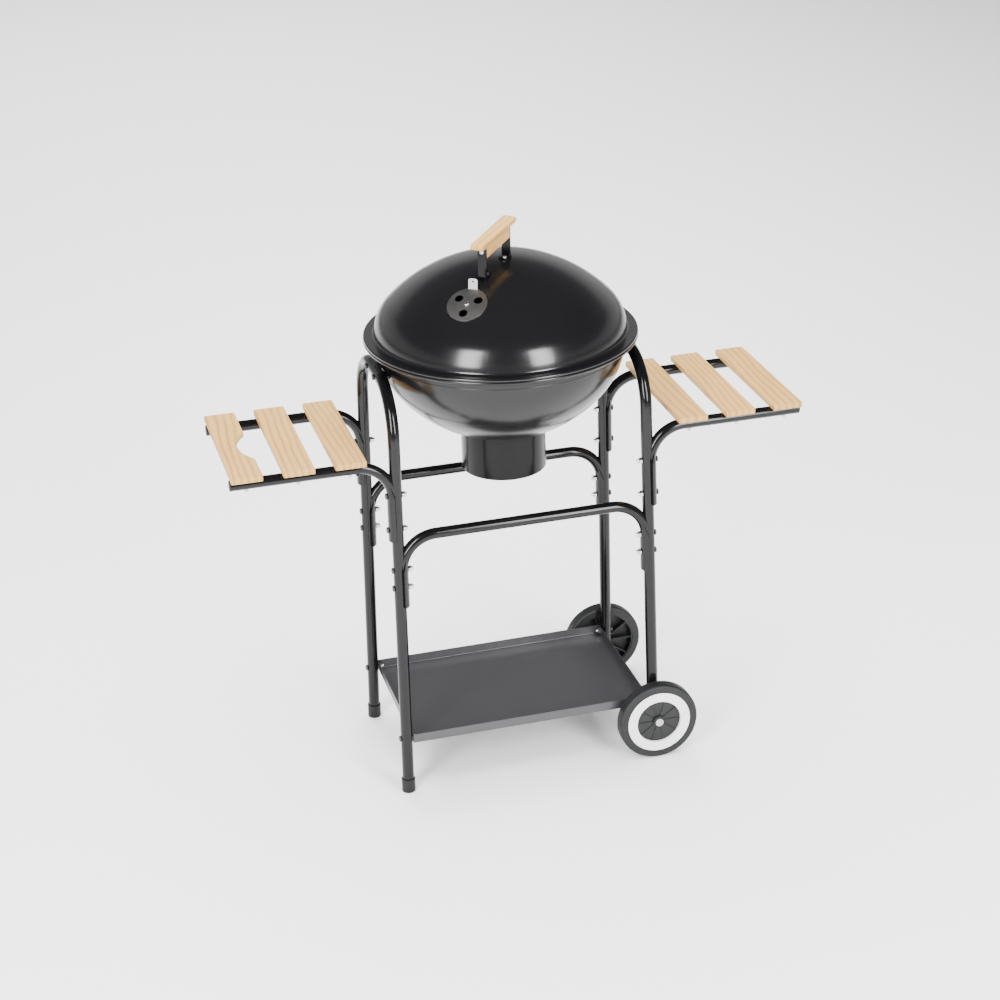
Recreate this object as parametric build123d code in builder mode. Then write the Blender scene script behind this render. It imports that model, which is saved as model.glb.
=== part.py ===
import os
from math import atan2, cos, radians, sin, sqrt

from build123d import *

# Kettle charcoal grill on two bent-tube side frames, with a slatted table at each end.
# Millimetres. Origin on the ground under the kettle's axis, +X to the wheeled end,
# -Y to the front, +Z up.

os.makedirs("parts", exist_ok=True)

# ---- driving dimensions ------------------------------------------------------------

sheet = 1.2                     # enamelled steel of lid, bowl, pot and tray
tube_wall = 1.2
touch = 0.06                    # gap between pieces that only touch
slack = 0.3                     # hole radius over bolt radius

# kettle, hung from the side frames
frame_height = 768.0            # centre of the frames' top runs
rim_height = frame_height + 44.5    # top of the bowl's rolled rim
rim_radius = 238.0              # centre of the rolled rim
rim_bead = 3.5
bowl_wall_radius = 220.0
groove_height = rim_height - 22.5   # pressed crease round the bowl's wall
groove_radius = 1.0
groove_out = -0.4
bowl_knuckle = 150.0
bowl_depth = 182.5
rim_drop = 4.5                  # from the rim's top to where the bowl's wall starts
lid_flange_radius = 241.0
lid_flange_height = rim_height + 4.5
lid_lip = 4.4
lid_wall_radius = 222.0
lid_knuckle = 75.0
lid_rise = 136.5

# ash pot under the bowl
pot_radius = 75.8
pot_floor_height = rim_height - 253.5
collar_height = 6.0
collar_wall = 1.6
pot_neck = 4.5
pot_vent_radius = 8.0
pot_vent_circle = 42.0
ash_hole_radius = 9.0
ash_hole_circle = 40.0

# side frames
frame_radius = 10.5
frame_bend = 85.0
leg_x_top = bowl_wall_radius - 4.5 + frame_radius    # bowl's wall rests against the top runs
leg_x_ground = leg_x_top + 10.0
leg_y_ground = 141.0
leg_y_top = 120.0
right_leg_end = 48.0
bowl_bolt_y = 28.0              # bolts that hang the bowl, on the top runs
spacer_radius = 8.0
foot_cap_height = 26.0
foot_cap_wall = 1.9
foot_cap_floor = 3.0

# bent tubes bolted to the legs
rail_radius = 9.75
rail_bend = 62.0
rail_offset = 6.0               # from a leg's axis to the bent end's axis
saddle_depth = 5.6              # flattened end that hugs the leg
saddle_angle = 70.0
saddle_tip_angle = 36.0
saddle_tip = 25.0
crossbar_height = 504.0
crossbar_end = 373.5
crossbar_bolts = (443.0, 408.5)
table_rail_end = 501.0
table_bolts = (585.0, 521.5)

# tables
slat_top = 664.4
slat_thickness = 9.5
slat_width = 54.5
slat_pitch = 89.0
slat_first = leg_x_top + 54.0
slat_half_length = 147.0
slat_count = 3
notch_chord = 120.0
notch_depth = 21.0
notch_shift = -8.5
rail_overhang = 1.4             # plug face beyond the last slat

# bottom tray
tray_height = 99.0
tray_half_width = 146.0
tray_lip = 18.0
tray_bolt_rise = 9.5

# wheels
wheel_radius = 75.0
wheel_width = 25.0
wheel_ring_outer = 0.8 * wheel_radius
wheel_ring_inner = 0.56 * wheel_radius
wheel_gap = 1.3                 # between a leg and the wheel's inner face
axle_radius = 5.0
axle_fit = 0.08
wheel_dish = 5.0                # disc behind the tyre's face
disc_sheet = 2.5
wheel_ribs = 10
tyre_round = 5.0
hub_radius = 11.0
hub_cap_radius = 7.5
hub_cap_depth = 4.0

# grates
grate_radius = 208.5
grate_height = rim_height - 26.5
grate_pitch = 16.0
coal_grate_radius = 150.0
coal_grate_pitch = 15.0
grate_wire = 2.5
grate_bar = 2.0
tab_angles = (45, 135, 225, 315)

# lid handle and damper
handle_x = -19.0
handle_y = -45.0
handle_angle = 45.0
handle_span = 82.0              # between the two brackets
handle_rise = 57.0
bracket_width = 17.0
bracket_sheet = 2.5
bracket_foot = 17.0
grip_length = 120.0
grip_width = 26.0
grip_cap = 10.0
grip_block = 20.0
grip_screw_drop = 10.0
grip_screw = 18.0
damper_x = -88.5
damper_y = -116.0
damper_radius = 35.0
damper_sheet = 1.2
damper_gap = 0.4
damper_hole_radius = 7.5
damper_hole_circle = 20.0
damper_tab_width = 16.5
damper_tab_length = 19.0
damper_tab_bend = 60.0
rivet_radius = 2.5
rivet_head_radius = 4.5
rivet_head = 2.2

# fasteners
bolt_radius = 3.0
bolt_head_radius = 5.5
bolt_head = 3.0
nut_across = 10.0
nut_height = 5.0
bolt_tail = 3.5
screw_radius = 2.0
screw_head_radius = 3.7
screw_head = 6.0


def finish(part, name):
    """Label a finished piece and write it as its own STEP file."""
    part.label = name
    export_step(part, f"parts/{name}.step")
    return part


def side_name(side):
    return "left" if side < 0 else "right"


def end_name(end):
    return "front" if end < 0 else "rear"


# ---- shared geometry ---------------------------------------------------------------


def leg_x(z):
    return leg_x_ground + (leg_x_top - leg_x_ground) * z / frame_height


def leg_y(z):
    return leg_y_ground + (leg_y_top - leg_y_ground) * z / frame_height


def leg_point(side, end, z):
    return Vector(side * leg_x(z), end * leg_y(z), z)


def leg_plane(side, end, z, facing):
    """Plane square to a leg at height z, its x direction along facing times X."""
    up = leg_point(side, end, frame_height) - leg_point(side, end, 0)
    return Plane(origin=leg_point(side, end, z), x_dir=(facing, 0, 0), z_dir=up)


def crown(wall_radius, knuckle, rise):
    """Radius and depth of centre of the crown arc that meets a knuckle smoothly."""
    reach = wall_radius - knuckle
    below = (rise - knuckle - reach * reach / (rise - knuckle)) / 2
    return rise - below, below


def cap_height(r, wall_radius, knuckle, rise, inset=0.0):
    """Height of a dished cap's surface above its base at radius r."""
    crown_radius, centre = crown(wall_radius, knuckle, rise)
    reach = wall_radius - knuckle
    joint = reach + knuckle * cos(atan2(-centre, reach))
    if r < joint:
        return centre + sqrt((crown_radius - inset) ** 2 - r * r)
    return sqrt((knuckle - inset) ** 2 - (r - reach) ** 2)


def cap_face(wall_radius, knuckle, rise, base, flip, inset=0.0):
    """Half section of a solid dished cap, dome up if flip is 1 or down if -1."""
    crown_radius, centre = crown(wall_radius, knuckle, rise)
    reach = wall_radius - knuckle
    turn = atan2(-centre, reach)
    outer = crown_radius - inset
    small = knuckle - inset
    joint = (reach + small * cos(turn), base + flip * small * sin(turn))
    half = turn / 2
    rim_mid = (reach + small * cos(half), base + flip * small * sin(half))
    top_turn = (turn + radians(90)) / 2
    top_mid = (outer * cos(top_turn), base + flip * (centre + outer * sin(top_turn)))
    peak = (0, base + flip * (centre + outer))
    with BuildSketch(Plane.XZ) as section:
        with BuildLine():
            Line((0, base), (reach + small, base))
            ThreePointArc((reach + small, base), rim_mid, joint)
            ThreePointArc(joint, top_mid, peak)
            Line(peak, (0, base))
        make_face()
    return section.sketch


bowl_base = rim_height - rim_drop
lid_crown, lid_centre = crown(lid_wall_radius, lid_knuckle, lid_rise)
bowl_crown, bowl_centre = crown(bowl_wall_radius, bowl_knuckle, bowl_depth)


def lid_surface(r):
    return lid_flange_height + cap_height(r, lid_wall_radius, lid_knuckle, lid_rise)


def bowl_surface(r, inset=0.0):
    return bowl_base - cap_height(r, bowl_wall_radius, bowl_knuckle, bowl_depth, inset)


with BuildPart() as bowl_solid:
    add(cap_face(bowl_wall_radius, bowl_knuckle, bowl_depth, bowl_base, -1))
    revolve(axis=Axis.Z)

with BuildPart() as bowl_inside:
    add(cap_face(bowl_wall_radius, bowl_knuckle, bowl_depth, bowl_base, -1, sheet))
    revolve(axis=Axis.Z)

with BuildPart() as lid_inside:
    add(cap_face(lid_wall_radius, lid_knuckle, lid_rise, lid_flange_height, 1, sheet))
    revolve(axis=Axis.Z)

with BuildPart() as lid_solid:
    add(cap_face(lid_wall_radius, lid_knuckle, lid_rise, lid_flange_height, 1))
    revolve(axis=Axis.Z)


BASE = (Align.CENTER, Align.CENTER, Align.MIN)
TIP = (Align.CENTER, Align.CENTER, Align.MAX)


def bolts(planes, length, name, head_radius=bolt_head_radius, head=bolt_head, shank=bolt_radius):
    """Round-headed bolts: each plane is where a head seats, with z out through the head."""
    with BuildPart() as bolt:
        Cylinder(head_radius, head, align=BASE)
        fillet(bolt.edges().group_by(Axis.Z)[-1], head * 0.6)
        Cylinder(shank, length, align=TIP)
    with BuildPart() as group:
        with Locations(*planes):
            add(bolt.part)
    return finish(group.part, name)


def nuts(planes, name):
    """Hexagon nuts: each plane is where a nut seats, with z out through the nut."""
    with BuildPart() as nut:
        with BuildSketch():
            RegularPolygon(nut_across / 2, 6, major_radius=False)
            Circle(bolt_radius + touch, mode=Mode.SUBTRACT)
        extrude(amount=nut_height)
    with BuildPart() as group:
        with Locations(*planes):
            add(nut.part)
    return finish(group.part, name)


def cross_hole(start, radius, depth):
    """Cut a round hole along X through the part being built."""
    with Locations(Plane(origin=start, z_dir=(1, 0, 0))):
        Cylinder(radius, depth, mode=Mode.SUBTRACT)


# ---- side frames -------------------------------------------------------------------

tray_bolt_height = tray_height + tray_bolt_rise
axle_height = wheel_radius
axle_x = leg_x(axle_height)
leg_hole_heights = crossbar_bolts + table_bolts + (tray_bolt_height,)


for side in (-1, 1):
    up = Vector(side * (leg_x_top - leg_x_ground), 0, frame_height)
    upright = Plane(origin=(side * leg_x_ground, 0, 0), x_dir=(0, 1, 0), z_dir=Vector(0, 1, 0).cross(up))
    stretch = up.length / frame_height
    foot = foot_cap_floor + 0.4 if side < 0 else right_leg_end
    with BuildPart() as frame:
        with BuildLine(upright) as path:
            FilletPolyline(
                (-leg_y(foot), foot * stretch),
                (-leg_y_top, frame_height * stretch),
                (leg_y_top, frame_height * stretch),
                (leg_y(foot), foot * stretch),
                radius=frame_bend,
            )
        with BuildSketch(Plane(origin=path.line @ 0, z_dir=path.line % 0)):
            Circle(frame_radius)
            Circle(frame_radius - tube_wall, mode=Mode.SUBTRACT)
        sweep()
        for end in (-1, 1):
            for z in leg_hole_heights:
                cross_hole(leg_point(side, end, z), bolt_radius + slack, 3 * frame_radius)
            run_point = (side * leg_x_top, end * bowl_bolt_y, frame_height)
            cross_hole(run_point, bolt_radius + slack, 3 * frame_radius)
        if side > 0:
            with Locations(Plane(origin=(axle_x, 0, axle_height), z_dir=(0, 1, 0))):
                Cylinder(axle_radius + axle_fit, 3 * leg_y_ground, mode=Mode.SUBTRACT)
    finish(frame.part, f"frame_{side_name(side)}")

for end in (-1, 1):
    with BuildPart() as cap:
        with BuildSketch():
            with Locations((-leg_x(0), end * leg_y(0))):
                Circle(frame_radius + foot_cap_wall)
        extrude(amount=foot_cap_floor)
        with BuildSketch(leg_plane(-1, end, foot_cap_floor, 1)):
            Circle(frame_radius + foot_cap_wall)
            Circle(frame_radius + touch, mode=Mode.SUBTRACT)
        extrude(amount=foot_cap_height - foot_cap_floor)
        fillet(cap.edges().group_by(Axis.Z)[0], 1.5)
    finish(cap.part, f"foot_cap_{end_name(end)}")

# ---- bent tubes with flattened ends ------------------------------------------------


def saddle(side, end, facing, bottom, top):
    """Crescent end of a tube, hugging a leg from bottom up to a narrow tip at top."""
    lower = leg_plane(side, end, bottom, facing)
    shoulder = leg_plane(side, end, top - saddle_tip, facing)
    tip = leg_plane(side, end, top, facing)
    inner = frame_radius - 1
    outer = frame_radius + saddle_depth
    sections = []
    for plane, angle in ((lower, saddle_angle), (shoulder, saddle_angle), (tip, saddle_tip_angle)):
        with BuildSketch(plane) as crescent:
            with BuildLine():
                near = CenterArc((0, 0), inner, -angle, 2 * angle)
                far = CenterArc((0, 0), outer, -angle, 2 * angle)
                Line(near @ 0, far @ 0)
                Line(near @ 1, far @ 1)
            make_face()
        sections.append(crescent.sketch)
    with BuildPart() as crimped:
        loft(sections[:2])
        loft(sections[1:])
    return crimped.part


def leg_clearance(side, end):
    """Rod a little thicker than a leg, along it."""
    with BuildPart() as rod:
        with BuildSketch(leg_plane(side, end, 0, 1)):
            Circle(frame_radius + touch)
        extrude(amount=frame_height)
    return rod.part


crossbar_low = crossbar_height - rail_bend
crossbar_mid = (crossbar_low + crossbar_end) / 2
crossbar_reach = leg_x(crossbar_low) - rail_offset
for end in (-1, 1):
    bar_y = end * leg_y(crossbar_low)
    with BuildPart() as crossbar:
        with BuildLine(Plane.XZ.offset(-bar_y)) as path:
            FilletPolyline(
                (-crossbar_reach, crossbar_low - rail_offset),
                (-crossbar_reach, crossbar_height),
                (crossbar_reach, crossbar_height),
                (crossbar_reach, crossbar_low - rail_offset),
                radius=rail_bend,
            )
        with BuildSketch(Plane(origin=path.line @ 0, z_dir=path.line % 0)):
            Circle(rail_radius)
            Circle(rail_radius - tube_wall, mode=Mode.SUBTRACT)
        sweep()
        for side in (-1, 1):
            add(saddle(side, end, -side, crossbar_end, crossbar_low + saddle_tip))
            add(leg_clearance(side, end), mode=Mode.SUBTRACT)
            for z in crossbar_bolts:
                cross_hole(leg_point(side, end, z), bolt_radius + slack, 6 * frame_radius)
    finish(crossbar.part, f"crossbar_{end_name(end)}")

slat_last = slat_first + (slat_count - 1) * slat_pitch + slat_width
rail_height = slat_top - slat_thickness - rail_radius
rail_low = rail_height - rail_bend
rail_reach = leg_x(rail_low) + rail_offset
rail_y = leg_y(rail_low)
rail_tip = slat_last + rail_overhang
plug_face = 2.5
plug_depth = 14.0
slat_middles = [slat_first + slat_width / 2 + i * slat_pitch for i in range(slat_count)]

for side in (-1, 1):
    for end in (-1, 1):
        with BuildPart() as rail:
            with BuildLine(Plane.XZ.offset(-end * rail_y)) as path:
                FilletPolyline(
                    (side * (rail_tip - plug_face), rail_height),
                    (side * rail_reach, rail_height),
                    (side * rail_reach, rail_low - rail_offset),
                    radius=rail_bend,
                )
            with BuildSketch(Plane(origin=path.line @ 0, z_dir=path.line % 0)):
                Circle(rail_radius)
                Circle(rail_radius - tube_wall, mode=Mode.SUBTRACT)
            sweep()
            add(saddle(side, end, side, table_rail_end, rail_low + saddle_tip))
            add(leg_clearance(side, end), mode=Mode.SUBTRACT)
            for z in table_bolts:
                cross_hole(leg_point(side, end, z), bolt_radius + slack, 6 * frame_radius)
            with Locations(*[(side * x, end * rail_y, rail_height) for x in slat_middles]):
                Cylinder(screw_radius + slack, 3 * rail_radius, mode=Mode.SUBTRACT)
        finish(rail.part, f"table_rail_{side_name(side)}_{end_name(end)}")

with BuildPart() as plug:
    with BuildSketch():
        Circle(rail_radius)
    extrude(amount=plug_face)
    fillet(plug.edges().group_by(Axis.Z)[-1], 1.2)
    with BuildSketch():
        Circle(rail_radius - tube_wall - touch)
    extrude(amount=-plug_depth)
with BuildPart() as plugs:
    tube_mouths = [
        Plane(origin=(side * (rail_tip - plug_face), end * rail_y, rail_height), z_dir=(side, 0, 0))
        for side in (-1, 1)
        for end in (-1, 1)
    ]
    with Locations(*tube_mouths):
        add(plug.part)
finish(plugs.part, "table_rail_plugs")

# ---- table slats -------------------------------------------------------------------

slat_screw_bite = 7.0
for side in (-1, 1):
    for i, middle in enumerate(slat_middles):
        with BuildPart() as slat:
            with BuildSketch(Plane.XY.offset(slat_top - slat_thickness)):
                with Locations((side * middle, 0)):
                    RectangleRounded(slat_width, 2 * slat_half_length, 2.5)
                if side < 0 and i == slat_count - 1:
                    notch_radius = (notch_chord**2 / 4 + notch_depth**2) / (2 * notch_depth)
                    notch_x = -(middle - slat_width / 2) + notch_radius - notch_depth
                    with Locations((notch_x, notch_shift)):
                        Circle(notch_radius, mode=Mode.SUBTRACT)
            extrude(amount=slat_thickness)
            fillet(slat.edges().group_by(Axis.Z)[-1], 1.2)
            fillet(slat.edges().group_by(Axis.Z)[0], 0.8)
            with Locations(*[(side * middle, end * rail_y, slat_top - slat_thickness) for end in (-1, 1)]):
                Cylinder(screw_radius + touch, slat_screw_bite, align=BASE, mode=Mode.SUBTRACT)
        finish(slat.part, f"slat_{side_name(side)}_{i + 1}")

screw_planes = [
    Plane(origin=(side * x, end * rail_y, rail_height - rail_radius), z_dir=(0, 0, -1))
    for side in (-1, 1)
    for end in (-1, 1)
    for x in slat_middles
]
bolts(
    screw_planes,
    2 * rail_radius + slat_screw_bite - touch,
    "slat_screws",
    head_radius=screw_head_radius,
    head=screw_head,
    shank=screw_radius,
)

# ---- leg bolts and nuts ------------------------------------------------------------


def through_leg(side, end, z, inner, outer):
    """Seats of the head outside a leg and the nut inside it, at distances from its axis."""
    centre = leg_point(side, end, z)
    head = Plane(origin=centre + Vector(side * outer, 0, 0), z_dir=(side, 0, 0))
    nut = Plane(origin=centre - Vector(side * inner, 0, 0), z_dir=(-side, 0, 0))
    return head, nut


leg_face = frame_radius + 0.1
saddle_face = frame_radius + saddle_depth + 0.2
joints = {
    "crossbar": (crossbar_bolts, saddle_face, leg_face),
    "table": (table_bolts, leg_face, saddle_face),
    "tray": ((tray_bolt_height,), leg_face + sheet + 0.2, leg_face),
}
for name, (heights, inner, outer) in joints.items():
    seats = [through_leg(s, e, z, inner, outer) for s in (-1, 1) for e in (-1, 1) for z in heights]
    grip = inner + outer + nut_height + bolt_tail
    bolts([head for head, nut in seats], grip, f"{name}_bolts")
    nuts([nut for head, nut in seats], f"{name}_nuts")

# ---- bottom tray -------------------------------------------------------------------

tray_half_length = leg_x(tray_height + tray_lip) - frame_radius - 0.15
with BuildPart() as tray:
    with BuildSketch(Plane.XY.offset(tray_height)):
        Rectangle(2 * tray_half_length, 2 * tray_half_width)
    extrude(amount=tray_lip)
    fillet(tray.edges().filter_by(Axis.Z), 3)
    fillet(tray.edges().group_by(Axis.Z)[0], 2.5)
    offset(amount=-sheet, openings=tray.faces().sort_by(Axis.Z)[-1])
    for side in (-1, 1):
        for end in (-1, 1):
            at = (side * tray_half_length, end * leg_y(tray_bolt_height), tray_bolt_height)
            cross_hole(at, bolt_radius + slack, 20)
finish(tray.part, "bottom_tray")

# ---- bowl --------------------------------------------------------------------------

rim_level = rim_height - rim_bead
with BuildPart() as bowl:
    with BuildSketch(Plane.XZ):
        add(cap_face(bowl_wall_radius, bowl_knuckle, bowl_depth, bowl_base, -1))
        with Locations(((bowl_wall_radius + rim_radius) / 2 - sheet, bowl_base)):
            Rectangle(rim_radius - bowl_wall_radius + sheet, sheet)
        with Locations((rim_radius, rim_level)):
            Circle(rim_bead)
        with Locations((bowl_wall_radius + groove_out, groove_height)):
            Circle(groove_radius, mode=Mode.SUBTRACT)
    revolve(axis=Axis.Z)
    corner = bowl.edges().filter_by(lambda edge: edge.geom_type == GeomType.CIRCLE)
    corner = corner.filter_by(lambda edge: abs(edge.radius - bowl_wall_radius) < 0.5)
    fillet(corner.filter_by(lambda edge: edge.center().Z < bowl_base), 4)
    add(bowl_inside.part, mode=Mode.SUBTRACT)
    with Locations((0, 0, bowl_base)):
        Cylinder(bowl_wall_radius - sheet, 2 * sheet, mode=Mode.SUBTRACT)
    with PolarLocations(ash_hole_circle, 6):
        Cylinder(ash_hole_radius, 4 * rim_height, mode=Mode.SUBTRACT)
    for y in (-bowl_bolt_y, bowl_bolt_y):
        cross_hole((0, y, frame_height), bolt_radius + slack, 3 * bowl_wall_radius)
finish(bowl.part, "bowl")

# four short spacers hang the bowl from the top runs of the side frames
bowl_bolt_x = leg_x(frame_height)
nut_reach = bowl_bolt_y + nut_across * 0.6
nut_low = bowl_base - frame_height + nut_across * 0.6
bowl_throat = bowl_wall_radius - bowl_knuckle + sqrt((bowl_knuckle - sheet) ** 2 - nut_low**2)
bowl_nut_x = sqrt(bowl_throat**2 - nut_reach**2) - touch
seats = []
for side in (-1, 1):
    for end in (-1, 1):
        with BuildPart() as spacer:
            with BuildSketch(Plane(origin=(0, end * bowl_bolt_y, frame_height), z_dir=(side, 0, 0))):
                Circle(spacer_radius)
                Circle(bolt_radius + slack, mode=Mode.SUBTRACT)
            extrude(amount=bowl_bolt_x)
            with Locations(Plane(origin=(side * bowl_bolt_x, 0, frame_height), z_dir=(0, 1, 0))):
                Cylinder(frame_radius + touch, 4 * bowl_bolt_y, mode=Mode.SUBTRACT)
            add(bowl_solid.part, mode=Mode.SUBTRACT)
        finish(spacer.part, f"bowl_spacer_{side_name(side)}_{end_name(end)}")
        outer = (side * (bowl_bolt_x + leg_face), end * bowl_bolt_y, frame_height)
        inner = (side * bowl_nut_x, end * bowl_bolt_y, frame_height)
        seats.append((Plane(origin=outer, z_dir=(side, 0, 0)), Plane(origin=inner, z_dir=(-side, 0, 0))))
bowl_grip = bowl_bolt_x + leg_face - bowl_nut_x + nut_height + 1
bolts([head for head, nut in seats], bowl_grip, "bowl_bolts")
nuts([nut for head, nut in seats], "bowl_nuts")

# ---- ash collar and pot ------------------------------------------------------------

collar_inner = pot_radius - collar_wall
collar_bottom = bowl_surface(pot_radius) - collar_height
with BuildPart() as collar:
    with BuildSketch(Plane.XY.offset(collar_bottom)):
        Circle(pot_radius)
        Circle(collar_inner, mode=Mode.SUBTRACT)
    extrude(amount=2 * collar_height)
    add(bowl_solid.part, mode=Mode.SUBTRACT)
finish(collar.part, "ash_collar")

pot_top = collar_bottom - 0.3
neck = collar_inner - 0.4
with BuildPart() as pot:
    with BuildSketch(Plane.XZ):
        with BuildLine():
            Polyline(
                (0, pot_floor_height),
                (pot_radius, pot_floor_height),
                (pot_radius, pot_top),
                (neck, pot_top),
                (neck, pot_top + pot_neck),
                (neck - sheet, pot_top + pot_neck),
                (neck - sheet, pot_top - sheet),
                (pot_radius - sheet, pot_top - sheet),
                (pot_radius - sheet, pot_floor_height + sheet),
                (0, pot_floor_height + sheet),
                close=True,
            )
        make_face()
    revolve(axis=Axis.Z)
    fillet(pot.edges().group_by(Axis.Z)[0], 1.1)
    with Locations((0, 0, pot_floor_height)):
        Cylinder(bolt_radius + touch, 4 * sheet, mode=Mode.SUBTRACT)
        with PolarLocations(pot_vent_circle, 4, start_angle=45):
            Cylinder(pot_vent_radius, 4 * sheet, mode=Mode.SUBTRACT)
finish(pot.part, "ash_pot")

# rotary damper under the pot, its tab to the rear
pot_damper_top = pot_floor_height - damper_gap
with BuildPart() as pot_damper:
    with BuildSketch(Plane.XY.offset(pot_damper_top)):
        Circle(pot_vent_circle + 2 * pot_vent_radius)
        with Locations((0, pot_radius)):
            RectangleRounded(damper_tab_width, 4 * sheet + pot_radius / 2, 4)
        Circle(bolt_radius + axle_fit, mode=Mode.SUBTRACT)
        with PolarLocations(pot_vent_circle, 4, start_angle=45):
            Circle(pot_vent_radius, mode=Mode.SUBTRACT)
    extrude(amount=-sheet)
finish(pot_damper.part, "pot_damper")

with BuildPart() as pot_rivet:
    with Locations((0, 0, pot_floor_height + sheet + touch)):
        Cylinder(bolt_head_radius, 1.5, align=BASE)
    with Locations((0, 0, pot_damper_top - sheet - damper_gap)):
        Cylinder(bolt_radius, 3 * sheet, align=BASE)
        Cylinder(2 * bolt_radius, 1.5, align=TIP)
    fillet(pot_rivet.edges().group_by(Axis.Z)[0], 0.8)
finish(pot_rivet.part, "pot_damper_rivet")

# ---- grates ------------------------------------------------------------------------

coal_height = bowl_base - bowl_centre
coal_height -= sqrt((bowl_crown - sheet - grate_wire - 0.3) ** 2 - coal_grate_radius**2)
grates = {
    "cooking_grate": (grate_radius, grate_height, grate_pitch, 80.0),
    "charcoal_grate": (coal_grate_radius, coal_height, coal_grate_pitch, 60.0),
}
for name, (radius, height, pitch, support_x) in grates.items():
    support = sqrt(radius**2 - support_x**2)
    with BuildPart() as ring:
        with Locations((0, 0, height)):
            Torus(radius, grate_wire)
        with Locations((support_x, 0, height), (-support_x, 0, height)):
            Cylinder(grate_wire, 2 * support, rotation=(90, 0, 0))
    finish(ring.part, f"{name}_ring")
    reach = int(radius / pitch - 0.3)
    with BuildPart() as rods:
        for i in range(-reach, reach + 1):
            half = sqrt(radius**2 - (i * pitch) ** 2)
            with Locations((0, i * pitch, height + grate_wire + grate_bar)):
                Cylinder(grate_bar, 2 * half, rotation=(0, 90, 0))
    finish(rods.part, f"{name}_bars")

with BuildPart() as tabs:
    with BuildSketch(Plane.XY.offset(grate_height - grate_wire - 0.1)):
        with PolarLocations(grate_radius + 5, 4, start_angle=45):
            RectangleRounded(24, 20, 2)
    extrude(amount=-2)
    add(bowl_inside.part, mode=Mode.INTERSECT)
finish(tabs.part, "grate_tabs")

# ---- lid ---------------------------------------------------------------------------

lid_centre_point = Vector(0, 0, lid_flange_height + lid_centre)


def lid_plane(x, y, along):
    """Plane on the lid's crown at x, y: z out of the lid, x direction close to along."""
    point = Vector(x, y, lid_surface(sqrt(x * x + y * y)))
    normal = (point - lid_centre_point).normalized()
    across = (along - normal * along.dot(normal)).normalized()
    return Plane(origin=point, x_dir=across, z_dir=normal)


damper_plane = lid_plane(damper_x, damper_y, Vector(0, 0, 1))
axis = Vector(cos(radians(handle_angle)), sin(radians(handle_angle)), 0)
foot_planes = []
for sign in (-1, 1):
    reach = sign * (handle_span / 2 - bracket_foot / 2)
    spot = Vector(handle_x, handle_y, 0) + axis * reach
    foot_planes.append(lid_plane(spot.X, spot.Y, axis * sign))

with BuildPart() as lid:
    with BuildSketch(Plane.XY.offset(lid_flange_height - lid_lip)):
        Circle(lid_flange_radius)
    extrude(amount=lid_lip)
    fillet(lid.edges().group_by(Axis.Z)[-1], 2.5)
    add(lid_solid.part)
    wall_foot = lid.edges().filter_by(GeomType.CIRCLE)
    wall_foot = wall_foot.filter_by(lambda edge: abs(edge.radius - lid_wall_radius) < 0.5)
    fillet(wall_foot, 4)
    with BuildSketch(Plane.XY.offset(lid_flange_height - lid_lip)):
        Circle(lid_flange_radius - sheet)
    extrude(amount=lid_lip - sheet, mode=Mode.SUBTRACT)
    add(lid_inside.part, mode=Mode.SUBTRACT)
    with BuildSketch(Plane.XY.offset(lid_flange_height - lid_lip)):
        Circle(lid_wall_radius - sheet)
    extrude(amount=lid_lip, mode=Mode.SUBTRACT)
    with Locations(damper_plane):
        Cylinder(rivet_radius + touch, 10, mode=Mode.SUBTRACT)
        with PolarLocations(damper_hole_circle, 3, start_angle=60):
            Cylinder(damper_hole_radius, 20, mode=Mode.SUBTRACT)
    with Locations(*foot_planes):
        Cylinder(bolt_radius + slack, 10, mode=Mode.SUBTRACT)
finish(lid.part, "lid")

# ---- lid damper --------------------------------------------------------------------

damper_inner = lid_crown + damper_gap
damper_outer = damper_inner + damper_sheet
ball_plane = Plane(origin=lid_centre_point, x_dir=damper_plane.x_dir, z_dir=damper_plane.z_dir)
tab_turn = 57.2958 * damper_radius / damper_outer
with BuildPart() as damper:
    with Locations(ball_plane):
        Sphere(damper_outer)
        Sphere(damper_inner, mode=Mode.SUBTRACT)
        Cylinder(damper_radius, 2 * lid_crown, align=BASE, mode=Mode.INTERSECT)
    edge_point = ball_plane * Rotation(0, tab_turn - 0.25, 0) * Pos(0, 0, damper_inner)
    with BuildSketch(Plane(edge_point * Rotation(0, -damper_tab_bend, 0))):
        Rectangle(damper_tab_length / 2, damper_tab_width, align=(Align.MIN, Align.CENTER))
        RectangleRounded(damper_tab_length, damper_tab_width, 4, align=(Align.MIN, Align.CENTER))
        with Locations((damper_tab_length - 5, 0)):
            Circle(1.75, mode=Mode.SUBTRACT)
    extrude(amount=damper_sheet)
    with Locations(damper_plane):
        Cylinder(rivet_radius + axle_fit, 20, mode=Mode.SUBTRACT)
        with PolarLocations(damper_hole_circle, 3, start_angle=60):
            Cylinder(damper_hole_radius, 20, mode=Mode.SUBTRACT)
finish(damper.part, "lid_damper")

with BuildPart() as rivet:
    rivet_seat = damper_gap + damper_sheet + 0.3
    with Locations(damper_plane.offset(rivet_seat)):
        Cylinder(rivet_head_radius, rivet_head, align=BASE)
    fillet(rivet.edges().filter_by(GeomType.CIRCLE).sort_by(Axis.Z)[-1], rivet_head * 0.7)
    with Locations(damper_plane.offset(rivet_seat)):
        Cylinder(rivet_radius, rivet_seat + sheet + 0.5, align=TIP)
    with Locations(damper_plane.offset(-sheet - 0.1)):
        Cylinder(rivet_head_radius, 1.2, align=TIP)
finish(rivet.part, "lid_damper_rivet")

# ---- lid handle --------------------------------------------------------------------

side_view = Plane(origin=(handle_x, handle_y, 0), x_dir=axis, z_dir=axis.cross(Vector(0, 0, 1)))


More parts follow.
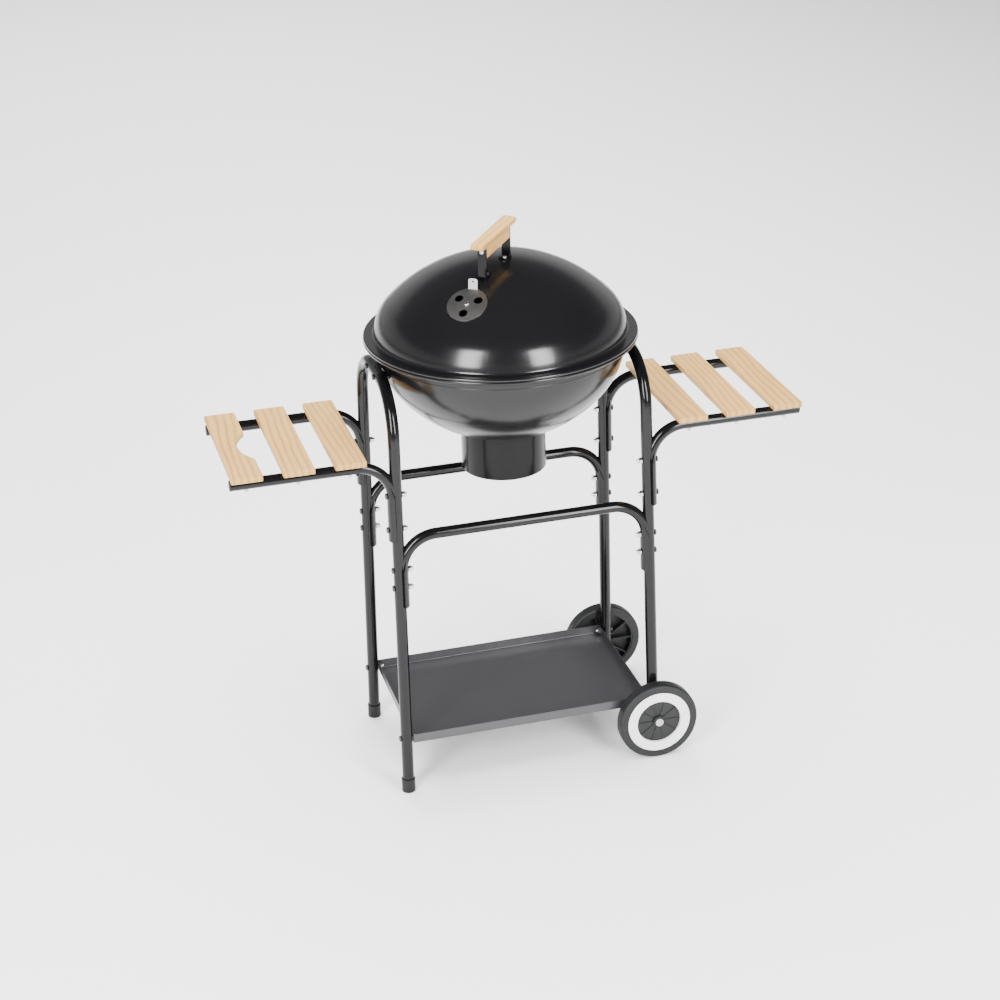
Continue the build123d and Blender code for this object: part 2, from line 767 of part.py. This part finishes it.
def lid_under(reach):
    """Height of the lid below the handle, at a distance along it from its middle."""
    spot = Vector(handle_x, handle_y, 0) + axis * reach
    return lid_surface(sqrt(spot.X**2 + spot.Y**2))


far = handle_span / 2
handle_slope = (lid_under(far) - lid_under(-far)) / handle_span
handle_level = (lid_under(far) + lid_under(-far)) / 2 + handle_rise


def under_cap(reach):
    return handle_level + handle_slope * reach


outer = far + bracket_sheet / 2
inner = far - bracket_sheet / 2
bracket_top = {sign: [under_cap(sign * inner), under_cap(sign * outer)] for sign in (-1, 1)}
screw_planes = []
for sign, foot_plane in zip((-1, 1), foot_planes):
    screw_height = under_cap(sign * far) - grip_screw_drop
    with BuildPart() as bracket:
        with BuildSketch(side_view):
            with BuildLine():
                Polyline(
                    (sign * inner, lid_under(sign * far) - 4),
                    (sign * outer, lid_under(sign * far) - 4),
                    (sign * outer, under_cap(sign * outer)),
                    (sign * inner, under_cap(sign * inner)),
                    close=True,
                )
            make_face()
        extrude(amount=bracket_width / 2, both=True)
        with BuildSketch(foot_plane):
            with Locations((bracket_foot / 4, 0)):
                RectangleRounded(bracket_foot * 1.1, bracket_width, 2)
        extrude(amount=bracket_sheet)
        screw_spot = side_view.from_local_coords(Vector(sign * outer, screw_height, 0))
        screw_planes.append(Plane(origin=screw_spot, z_dir=axis * sign))
        with Locations(screw_planes[-1]):
            Cylinder(screw_radius + slack, 4 * bracket_sheet, mode=Mode.SUBTRACT)
        with Locations(foot_plane):
            Cylinder(bolt_radius + slack, 4 * bracket_sheet, mode=Mode.SUBTRACT)
        add(lid_solid.part, mode=Mode.SUBTRACT)
    finish(bracket.part, f"handle_bracket_{'near' if sign < 0 else 'far'}")

cap_dir = Vector(axis.X, axis.Y, handle_slope)
cap_plane = Plane(
    origin=(handle_x, handle_y, handle_level),
    x_dir=cap_dir,
    z_dir=side_view.z_dir.cross(cap_dir),
)
with BuildPart() as grip:
    with BuildSketch(cap_plane):
        RectangleRounded(grip_length, grip_width, 4)
    extrude(amount=grip_cap)
    fillet(grip.edges().filter_by(GeomType.LINE).filter_by(lambda edge: edge.length > 20), 3)
    with BuildSketch(side_view):
        with BuildLine():
            Polyline(
                (-inner + touch, under_cap(-inner) - grip_block),
                (inner - touch, under_cap(inner) - grip_block),
                (inner - touch, under_cap(inner) + 1),
                (-inner + touch, under_cap(-inner) + 1),
                close=True,
            )
        make_face()
    extrude(amount=bracket_width / 2, both=True)
    for plane in screw_planes:
        with Locations(plane):
            Cylinder(screw_radius + touch, 2 * (bracket_sheet + grip_screw), mode=Mode.SUBTRACT)
finish(grip.part, "handle_grip")

bolts([plane.offset(bracket_sheet) for plane in foot_planes], bracket_sheet + sheet + nut_height + 1, "handle_bolts")
under_lid = [plane.offset(-sheet - 0.1) for plane in foot_planes]
nuts([Plane(origin=plane.origin, x_dir=plane.x_dir, z_dir=-plane.z_dir) for plane in under_lid], "handle_nuts")
bolts(
    screw_planes,
    bracket_sheet + grip_screw - touch,
    "handle_screws",
    head_radius=screw_head_radius,
    head=2.2,
    shank=screw_radius,
)

# ---- wheels ------------------------------------------------------------------------

washer_start = leg_y(axle_height) + frame_radius + 0.35
wheel_inner = washer_start + wheel_gap
wheel_outer = wheel_inner + wheel_width
disc_face = wheel_outer - wheel_dish
cap_start = wheel_outer - 0.5

with BuildPart() as tyre:
    with BuildSketch():
        Circle(wheel_radius)
    extrude(amount=wheel_width)
    fillet(tyre.edges(), tyre_round)
    Cylinder(wheel_ring_outer + touch, 3 * wheel_width, mode=Mode.SUBTRACT)

with BuildPart() as ring:
    with BuildSketch(Plane.XY.offset(wheel_width - wheel_dish + touch)):
        Circle(wheel_ring_outer)
        Circle(wheel_ring_inner, mode=Mode.SUBTRACT)
    extrude(amount=wheel_dish + 0.5)
    fillet(ring.edges().group_by(Axis.Z)[-1], 1.2)

with BuildPart() as disc:
    with BuildSketch(Plane.XY.offset(wheel_width - wheel_dish)):
        Circle(wheel_ring_outer)
    extrude(amount=-disc_sheet)
    with BuildSketch(Plane.XY.offset(1.5)):
        Circle(wheel_ring_outer)
        Circle(wheel_ring_outer - disc_sheet, mode=Mode.SUBTRACT)
    extrude(amount=wheel_width - wheel_dish - 2)
    with BuildSketch(Plane.XY.offset(3)):
        with PolarLocations(wheel_ring_outer / 2, wheel_ribs):
            Rectangle(wheel_ring_outer - 4, 2)
    extrude(amount=wheel_width - wheel_dish - 4)
    with BuildSketch(Plane.XY.offset(wheel_width - wheel_dish)):
        with PolarLocations((wheel_ring_inner + hub_radius) / 2, wheel_ribs):
            Rectangle(wheel_ring_inner - hub_radius - 1, 2)
    extrude(amount=1.2)
    Cylinder(hub_radius, wheel_width - 0.8, align=BASE)
    Cylinder(axle_radius + axle_fit, 3 * wheel_width, mode=Mode.SUBTRACT)

for end in (-1, 1):
    wheel_plane = Plane(origin=(axle_x, end * wheel_inner, axle_height), x_dir=(1, 0, 0), z_dir=(0, end, 0))
    for name, piece in (("tyre", tyre), ("ring", ring), ("disc", disc)):
        with BuildPart() as placed:
            with Locations(wheel_plane):
                add(piece.part)
        finish(placed.part, f"wheel_{end_name(end)}_{name}")

with BuildPart() as axle:
    with Locations(Plane(origin=(axle_x, 0, axle_height), z_dir=(0, 1, 0))):
        Cylinder(axle_radius, 2 * (cap_start + 2.5))
finish(axle.part, "axle")

with BuildPart() as washer:
    Cylinder(2 * axle_radius, 1, align=BASE)
    Cylinder(axle_radius + touch, 5, mode=Mode.SUBTRACT)
with BuildPart() as hub_cap:
    Cylinder(hub_cap_radius, hub_cap_depth, align=BASE)
    fillet(hub_cap.edges().group_by(Axis.Z)[-1], 1)
    Cylinder(axle_radius + touch, hub_cap_depth - 1, align=BASE, mode=Mode.SUBTRACT)
    Cylinder(1.5, 3 * hub_cap_depth, mode=Mode.SUBTRACT)
for piece, start, name in ((washer, washer_start, "axle_washers"), (hub_cap, cap_start, "hub_caps")):
    ends = [Plane(origin=(axle_x, end * start, axle_height), z_dir=(0, end, 0)) for end in (-1, 1)]
    with BuildPart() as pair:
        with Locations(*ends):
            add(piece.part)
    finish(pair.part, name)
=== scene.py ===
import math

import bpy
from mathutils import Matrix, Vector

import numpy as np

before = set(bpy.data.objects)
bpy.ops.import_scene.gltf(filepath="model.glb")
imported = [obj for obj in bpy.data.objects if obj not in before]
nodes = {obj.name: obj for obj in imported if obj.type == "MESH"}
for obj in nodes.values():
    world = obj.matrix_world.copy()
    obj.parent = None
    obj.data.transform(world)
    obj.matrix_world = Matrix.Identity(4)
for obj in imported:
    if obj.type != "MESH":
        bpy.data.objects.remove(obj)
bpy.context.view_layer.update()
print("frame loaded")


def newGroup(name, inputs, outputs):
    tree = bpy.data.node_groups.new(name, "ShaderNodeTree")
    for label, kind, value in inputs:
        socket = tree.interface.new_socket(label, in_out="INPUT", socket_type=kind)
        socket.default_value = value
    for label, kind in outputs:
        tree.interface.new_socket(label, in_out="OUTPUT", socket_type=kind)
    entry = tree.nodes.new("NodeGroupInput")
    leave = tree.nodes.new("NodeGroupOutput")
    return tree, entry, leave


def addNode(tree, kind, **values):
    node = tree.nodes.new(kind)
    for key, value in values.items():
        setattr(node, key, value)
    return node


def setInputs(node, **values):
    for key, value in values.items():
        node.inputs[key.replace("_", " ")].default_value = value


def mathNode(tree, operation, first, second=None, third=None):
    node = addNode(tree, "ShaderNodeMath", operation=operation)
    for i, value in enumerate((first, second, third)):
        if value is None:
            continue
        if isinstance(value, (int, float)):
            node.inputs[i].default_value = value
        else:
            tree.links.new(value, node.inputs[i])
    return node.outputs[0]


def rampNode(tree, factor, stops):
    node = addNode(tree, "ShaderNodeValToRGB")
    ramp = node.color_ramp
    while len(ramp.elements) < len(stops):
        ramp.elements.new(0.5)
    for element, (place, colour) in zip(ramp.elements, stops):
        element.position = place
        element.color = colour
    tree.links.new(factor, node.inputs[0])
    return node.outputs[0]


# Object coordinates of the nodes are those of the shared frame
def coords(tree, scale):
    place = addNode(tree, "ShaderNodeTexCoord")
    stretch = addNode(tree, "ShaderNodeMapping")
    stretch.inputs["Scale"].default_value = scale
    tree.links.new(place.outputs["Object"], stretch.inputs["Vector"])
    return stretch.outputs[0]


def noise(tree, vector, scale, detail=3.0, rough=0.5):
    node = addNode(tree, "ShaderNodeTexNoise")
    node.inputs["Scale"].default_value = scale
    node.inputs["Detail"].default_value = detail
    node.inputs["Roughness"].default_value = rough
    tree.links.new(vector, node.inputs["Vector"])
    return node.outputs["Fac"]


# fine unevenness of painted or moulded surfaces
def surfaceGroup():
    tree, entry, leave = newGroup(
        "surfaceUnevenness",
        [("Grain", "NodeSocketFloat", 900.0), ("Wave", "NodeSocketFloat", 40.0)],
        [("Height", "NodeSocketFloat"), ("Shift", "NodeSocketFloat")],
    )
    place = coords(tree, (1, 1, 1))
    fine = addNode(tree, "ShaderNodeTexNoise")
    broad = addNode(tree, "ShaderNodeTexNoise")
    for node, label in ((fine, "Grain"), (broad, "Wave")):
        tree.links.new(place, node.inputs["Vector"])
        tree.links.new(entry.outputs[label], node.inputs["Scale"])
    blend = mathNode(tree, "ADD", fine.outputs["Fac"], mathNode(tree, "MULTIPLY", broad.outputs["Fac"], 0.6))
    tree.links.new(blend, leave.inputs["Height"])
    tree.links.new(mathNode(tree, "SUBTRACT", broad.outputs["Fac"], 0.5), leave.inputs["Shift"])
    return tree


# planed pine with growth rings, pores and a slow tint; the grain runs along Y
def woodGroup():
    tree, entry, leave = newGroup(
        "planedPine",
        [("Seed", "NodeSocketFloat", 0.0), ("Turn", "NodeSocketFloat", 0.0)],
        [("Color", "NodeSocketColor"), ("Height", "NodeSocketFloat"), ("Rough", "NodeSocketFloat")],
    )
    place = addNode(tree, "ShaderNodeTexCoord")
    turn = addNode(tree, "ShaderNodeVectorRotate", rotation_type="Z_AXIS")
    tree.links.new(place.outputs["Object"], turn.inputs["Vector"])
    tree.links.new(entry.outputs["Turn"], turn.inputs["Angle"])
    seedShift = addNode(tree, "ShaderNodeCombineXYZ")
    tree.links.new(mathNode(tree, "MULTIPLY", entry.outputs["Seed"], 0.37), seedShift.inputs[0])
    tree.links.new(mathNode(tree, "MULTIPLY", entry.outputs["Seed"], 1.91), seedShift.inputs[1])
    tree.links.new(mathNode(tree, "MULTIPLY", entry.outputs["Seed"], 0.53), seedShift.inputs[2])
    shifted = addNode(tree, "ShaderNodeVectorMath", operation="ADD")
    tree.links.new(turn.outputs[0], shifted.inputs[0])
    tree.links.new(seedShift.outputs[0], shifted.inputs[1])

    def stretched(scale):
        node = addNode(tree, "ShaderNodeMapping")
        node.inputs["Scale"].default_value = scale
        tree.links.new(shifted.outputs[0], node.inputs["Vector"])
        return node.outputs[0]

    warp = noise(tree, stretched((5, 1.6, 5)), 1.0, 2.0)
    rings = addNode(tree, "ShaderNodeTexWave", wave_type="BANDS", bands_direction="X", wave_profile="SIN")
    setInputs(rings, Scale=26.0, Distortion=1.2, Detail=2.0)
    bent = addNode(tree, "ShaderNodeVectorMath", operation="MULTIPLY_ADD")
    push = addNode(tree, "ShaderNodeCombineXYZ")
    tree.links.new(mathNode(tree, "SUBTRACT", warp, 0.5), push.inputs[0])
    tree.links.new(push.outputs[0], bent.inputs[0])
    bent.inputs[1].default_value = (0.07, 0, 0)
    tree.links.new(shifted.outputs[0], bent.inputs[2])
    tree.links.new(bent.outputs[0], rings.inputs["Vector"])
    pores = noise(tree, stretched((700, 14, 700)), 1.0, 3.0, 0.6)
    tint = noise(tree, stretched((30, 5, 30)), 1.0, 2.0)
    lines = mathNode(tree, "POWER", rings.outputs["Fac"], 2.2)
    strength = mathNode(tree, "MULTIPLY_ADD", pores, 0.34, mathNode(tree, "MULTIPLY", lines, 0.27))
    total = mathNode(tree, "ADD", strength, mathNode(tree, "MULTIPLY", tint, 0.3))
    stops = [
        (0.15, (0.56, 0.335, 0.10, 1)),
        (0.40, (0.48, 0.265, 0.068, 1)),
        (0.60, (0.37, 0.185, 0.042, 1)),
        (0.85, (0.24, 0.105, 0.02, 1)),
    ]
    tree.links.new(rampNode(tree, total, stops), leave.inputs["Color"])
    tree.links.new(mathNode(tree, "MULTIPLY_ADD", lines, -0.4, pores), leave.inputs["Height"])
    tree.links.new(mathNode(tree, "MULTIPLY_ADD", pores, 0.15, 0.42), leave.inputs["Rough"])
    return tree


# long fine scratches and faint clouding
def brushedGroup():
    tree, entry, leave = newGroup(
        "rolledSteel",
        [("Long", "NodeSocketFloat", 60.0), ("Cross", "NodeSocketFloat", 1800.0)],
        [("Height", "NodeSocketFloat"), ("Rough", "NodeSocketFloat")],
    )
    place = addNode(tree, "ShaderNodeTexCoord")
    scale = addNode(tree, "ShaderNodeCombineXYZ")
    tree.links.new(entry.outputs["Long"], scale.inputs[0])
    tree.links.new(entry.outputs["Cross"], scale.inputs[1])
    tree.links.new(entry.outputs["Cross"], scale.inputs[2])
    spread = addNode(tree, "ShaderNodeVectorMath", operation="MULTIPLY")
    tree.links.new(place.outputs["Object"], spread.inputs[0])
    tree.links.new(scale.outputs[0], spread.inputs[1])
    scratches = noise(tree, spread.outputs[0], 1.0, 2.0)
    clouds = noise(tree, place.outputs["Object"], 35.0)
    tree.links.new(scratches, leave.inputs["Height"])
    tree.links.new(
        mathNode(tree, "MULTIPLY_ADD", scratches, 0.12, mathNode(tree, "MULTIPLY", clouds, 0.12)),
        leave.inputs["Rough"],
    )
    return tree


groups = {"paint": surfaceGroup(), "wood": woodGroup(), "steel": brushedGroup()}


# rough is the base roughness and its spread, bump the strength and the depth in metres
def newMaterial(name, group, groupInputs, rough, bump, **shader):
    material = bpy.data.materials.new(name)
    material.use_nodes = True
    tree = material.node_tree
    bsdf = tree.nodes["Principled BSDF"]
    for key, value in shader.items():
        bsdf.inputs[key.replace("_", " ")].default_value = value
    inner = addNode(tree, "ShaderNodeGroup", node_tree=groups[group])
    for key, value in groupInputs.items():
        inner.inputs[key].default_value = value
    base, spread = rough
    shift = {"paint": "Shift", "wood": "Rough", "steel": "Rough"}[group]
    level = mathNode(tree, "MULTIPLY_ADD", inner.outputs[shift], spread, base)
    tree.links.new(level, bsdf.inputs["Roughness"])
    if group == "wood":
        tree.links.new(inner.outputs["Color"], bsdf.inputs["Base Color"])
    relief = addNode(tree, "ShaderNodeBump")
    relief.inputs["Strength"].default_value = bump[0]
    relief.inputs["Distance"].default_value = bump[1]
    tree.links.new(inner.outputs["Height"], relief.inputs["Height"])
    tree.links.new(relief.outputs["Normal"], bsdf.inputs["Normal"])
    return material


def paint(nodeNames, material):
    for name in nodeNames:
        data = nodes[name].data
        data.materials.clear()
        data.materials.append(material)


enamel = newMaterial(
    "glossEnamel", "paint", {"Grain": 160.0, "Wave": 18.0}, (0.2, 0.06), (0.015, 0.0004),
    Base_Color=(0.004, 0.004, 0.0045, 1), Specular_IOR_Level=0.52,
)
# copy of the lid's enamel with a lower specular level: painted shade, dimming the bowl's reflections below
# those of the real enamel
bowlEnamelPaintedShade = newMaterial(
    "bowlEnamelPaintedShade", "paint", {"Grain": 160.0, "Wave": 18.0}, (0.2, 0.06), (0.015, 0.0004),
    Base_Color=(0.005, 0.005, 0.0055, 1), Specular_IOR_Level=0.36,
)
# copy of the lid's enamel with a lower specular level and a darker base: painted shade, darkening the pot's
# and collar's reflections below those of the real enamel
potEnamelPaintedShade = newMaterial(
    "potEnamelPaintedShade", "paint", {"Grain": 160.0, "Wave": 18.0}, (0.2, 0.06), (0.015, 0.0004),
    Base_Color=(0.003, 0.003, 0.0033, 1), Specular_IOR_Level=0.16,
)
tubePaint = newMaterial(
    "tubePaint", "paint", {"Grain": 900.0, "Wave": 60.0}, (0.16, 0.08), (0.06, 0.0002),
    Base_Color=(0.003, 0.003, 0.0033, 1), Specular_IOR_Level=0.3,
)
trayPaint = newMaterial(
    "trayPaint", "paint", {"Grain": 700.0, "Wave": 25.0}, (0.3, 0.1), (0.08, 0.0002),
    Base_Color=(0.024, 0.023, 0.026, 1), Specular_IOR_Level=0.75,
)
footPlastic = newMaterial(
    "footPlastic", "paint", {"Grain": 1400.0, "Wave": 80.0}, (0.5, 0.1), (0.15, 0.0003),
    Base_Color=(0.005, 0.005, 0.0055, 1), Specular_IOR_Level=0.3,
)
tyrePlastic = newMaterial(
    "tyrePlastic", "paint", {"Grain": 1200.0, "Wave": 60.0}, (0.55, 0.1), (0.2, 0.0004),
    Base_Color=(0.007, 0.0075, 0.008, 1), Specular_IOR_Level=0.35,
)
ringPlastic = newMaterial(
    "ringPlastic", "paint", {"Grain": 1200.0, "Wave": 60.0}, (0.45, 0.1), (0.1, 0.0003),
    Base_Color=(0.80, 0.80, 0.79, 1),
)
discPlastic = newMaterial(
    "discPlastic", "paint", {"Grain": 1200.0, "Wave": 60.0}, (0.5, 0.1), (0.15, 0.0003),
    Base_Color=(0.006, 0.0065, 0.007, 1), Specular_IOR_Level=0.4,
)
capPlastic = newMaterial(
    "capPlastic", "paint", {"Grain": 1200.0, "Wave": 60.0}, (0.4, 0.1), (0.1, 0.0003),
    Base_Color=(0.5, 0.5, 0.5, 1), Metallic=0.9,
)
zinc = newMaterial(
    "zincPlate", "steel", {"Long": 900.0, "Cross": 900.0}, (0.22, 1.0), (0.1, 0.0002),
    Base_Color=(0.62, 0.62, 0.63, 1), Metallic=1.0,
)
darkPlate = newMaterial(
    "darkPlate", "steel", {"Long": 900.0, "Cross": 900.0}, (0.3, 0.8), (0.1, 0.0002),
    Base_Color=(0.05, 0.05, 0.052, 1), Metallic=0.8,
)
wireSteel = newMaterial(
    "wireSteel", "steel", {"Long": 80.0, "Cross": 1500.0}, (0.16, 1.0), (0.1, 0.0002),
    Base_Color=(0.62, 0.62, 0.61, 1), Metallic=1.0,
)
brushed = newMaterial(
    "brushedSteel", "steel", {"Long": 60.0, "Cross": 2200.0}, (0.3, 1.0), (0.3, 0.0002),
    Base_Color=(0.42, 0.415, 0.405, 1), Metallic=1.0,
)

sides = ("left", "right")
ends = ("front", "rear")
paint(("lid",), enamel)
paint(("bowl",), bowlEnamelPaintedShade)
paint(("ash_collar", "ash_pot"), potEnamelPaintedShade)
paint([f"frame_{side}" for side in sides], tubePaint)
paint([f"crossbar_{end}" for end in ends], tubePaint)
paint([f"table_rail_{side}_{end}" for side in sides for end in ends], tubePaint)
paint([f"bowl_spacer_{side}_{end}" for side in sides for end in ends], tubePaint)
paint(("handle_bracket_near", "handle_bracket_far"), tubePaint)
paint(("bottom_tray",), trayPaint)
paint(("foot_cap_front", "foot_cap_rear", "table_rail_plugs"), footPlastic)
paint([f"wheel_{end}_tyre" for end in ends], tyrePlastic)
paint([f"wheel_{end}_ring" for end in ends], ringPlastic)
paint([f"wheel_{end}_disc" for end in ends], discPlastic)
paint(("hub_caps",), capPlastic)


# each bolt is split at half its length, the wider end being its head
def paintBolts(name, headLook, threadLook):
    data = nodes[name].data
    data.materials.clear()
    data.materials.append(headLook)
    data.materials.append(threadLook)
    keys = {}
    weld = []
    for vertex in data.vertices:
        spot = tuple(round(value, 5) for value in vertex.co)
        weld.append(keys.setdefault(spot, len(keys)))
    group = list(range(len(keys)))

    def leader(index):
        while group[index] != index:
            group[index] = group[group[index]]
            index = group[index]
        return index

    for edge in data.edges:
        first, second = (leader(weld[index]) for index in edge.vertices)
        group[first] = second
    bolts = {}
    for polygon in data.polygons:
        bolts.setdefault(leader(weld[polygon.vertices[0]]), []).append(polygon)
    for polygons in bolts.values():
        points = np.array([data.vertices[index].co for polygon in polygons for index in polygon.vertices])
        middle = (points.max(axis=0) + points.min(axis=0)) / 2
        spread = points - middle
        axis = np.linalg.svd(spread - spread.mean(axis=0), full_matrices=False)[2][0]
        along = spread @ axis
        away = np.linalg.norm(spread - np.outer(along, axis), axis=1)
        if away[along > 0].max() > away[along < 0].max():
            axis = -axis
        for polygon in polygons:
            polygon.material_index = int((np.array(polygon.center) - middle) @ axis > 0)


boltGroups = ("crossbar", "table", "tray", "bowl", "handle")
paint([f"{place}_nuts" for place in boltGroups], zinc)
for place in boltGroups:
    paintBolts(f"{place}_bolts", darkPlate, zinc)
paint(["handle_screws", "slat_screws", "lid_damper_rivet"], zinc)
paint(("axle", "axle_washers", "pot_damper_rivet", "pot_damper", "grate_tabs"), zinc)
paint([f"{name}_grate_{part}" for name in ("cooking", "charcoal") for part in ("ring", "bars")], wireSteel)
paint(("lid_damper",), brushed)

boardSettings = {
    "roughness": (0.0, 1.0),
    "bump": (0.25, 0.0004),
    "firstSeed": 0.4,
    "seedStep": 1.7,
    "gripTurn": 45,
}
slatNames = [f"slat_{side}_{i}" for side in sides for i in (1, 2, 3)]
for seed, name in enumerate(slatNames + ["handle_grip"]):
    turn = math.radians(boardSettings["gripTurn"] if name == "handle_grip" else 0)
    seedValue = boardSettings["seedStep"] * seed + boardSettings["firstSeed"]
    board = newMaterial(
        f"pine_{name}", "wood", {"Seed": seedValue, "Turn": turn},
        boardSettings["roughness"], boardSettings["bump"],
    )
    paint((name,), board)
print("finishes set")

studio = {
    "floorSize": 40.0,
    "floorColour": (0.93, 0.93, 0.93, 1),
    "floorRoughness": 0.9,
    "skyTilt": -0.09,
    # brightness from straight below to straight above
    "sky": [(0.0, 0.5), (0.50, 0.5), (0.60, 0.42), (0.64, 0.12), (0.8, 0.06), (1.0, 0.05)],
    "skyStrength": 1.5,
    # name, place, target, width, height, watts, seen in reflections
    "lights": [
        ("boxLeft", (-2.05, -2.2, 1.8), (0, 0, 0.85), 0.95, 2.3, 190, True),
        ("boxRight", (1.1, -2.95, 1.65), (0, 0, 0.85), 0.9, 2.2, 180, True),
        ("overhead", (0, 0.5, 3.2), (0, 0.5, 0), 4.5, 4.5, 400, False),
        ("backdropFill", (0, 5.5, 4.0), (0, 4.5, 0), 5.0, 5.0, 520, False),
    ],
}


def addStudio():
    floorMesh = bpy.data.meshes.new("floor")
    half = studio["floorSize"] / 2
    floorMesh.from_pydata(
        [(-half, -half, 0), (half, -half, 0), (half, half, 0), (-half, half, 0)], [], [(0, 1, 2, 3)]
    )
    floor = bpy.data.objects.new("floor", floorMesh)
    bpy.context.scene.collection.objects.link(floor)
    floorLook = bpy.data.materials.new("floorLook")
    floorLook.use_nodes = True
    bsdf = floorLook.node_tree.nodes["Principled BSDF"]
    bsdf.inputs["Base Color"].default_value = studio["floorColour"]
    bsdf.inputs["Roughness"].default_value = studio["floorRoughness"]
    floorMesh.materials.append(floorLook)
    for name, place, target, width, height, power, mirrored in studio["lights"]:
        data = bpy.data.lights.new(name, "AREA")
        data.shape = "RECTANGLE"
        data.size = width
        data.size_y = height
        data.energy = power
        lamp = bpy.data.objects.new(name, data)
        lamp.location = place
        aim = Vector(target) - Vector(place)
        lamp.rotation_euler = aim.to_track_quat("-Z", "Y").to_euler()
        lamp.visible_glossy = mirrored
        bpy.context.scene.collection.objects.link(lamp)
    world = bpy.data.worlds.new("studioWorld")
    bpy.context.scene.world = world
    world.use_nodes = True
    tree = world.node_tree
    backdrop = tree.nodes["Background"]
    place = addNode(tree, "ShaderNodeTexCoord")
    split = addNode(tree, "ShaderNodeSeparateXYZ")
    tree.links.new(place.outputs["Generated"], split.inputs[0])
    height = mathNode(tree, "MULTIPLY_ADD", split.outputs["Z"], 0.5, 0.5)
    lean = mathNode(tree, "MULTIPLY_ADD", split.outputs["Y"], studio["skyTilt"], height)
    stops = [(level, (value, value, value, 1)) for level, value in studio["sky"]]
    tree.links.new(rampNode(tree, lean, stops), backdrop.inputs["Color"])
    backdrop.inputs["Strength"].default_value = studio["skyStrength"]


view = {
    "place": (-0.95065, -3.49760, 2.17200),
    "target": (-0.00671, 0.01130, 0.48193),
    "roll": -1.695,
    "lens": 79.32,
}


def addCamera():
    data = bpy.data.cameras.new("camera")
    data.lens = view["lens"]
    data.sensor_width = 36
    camera = bpy.data.objects.new("camera", data)
    place = Vector(view["place"])
    back = (place - Vector(view["target"])).normalized()
    right = Vector((0, 0, 1)).cross(back).normalized()
    up = back.cross(right)
    roll = math.radians(view["roll"])
    sideways = right * math.cos(roll) + up * math.sin(roll)
    upward = up * math.cos(roll) - right * math.sin(roll)
    matrix = camera.matrix_world.copy()
    for row in range(3):
        matrix[row][0] = sideways[row]
        matrix[row][1] = upward[row]
        matrix[row][2] = back[row]
        matrix[row][3] = place[row]
    camera.matrix_world = matrix
    bpy.context.scene.collection.objects.link(camera)
    bpy.context.scene.camera = camera


addStudio()
addCamera()
print("studio set")
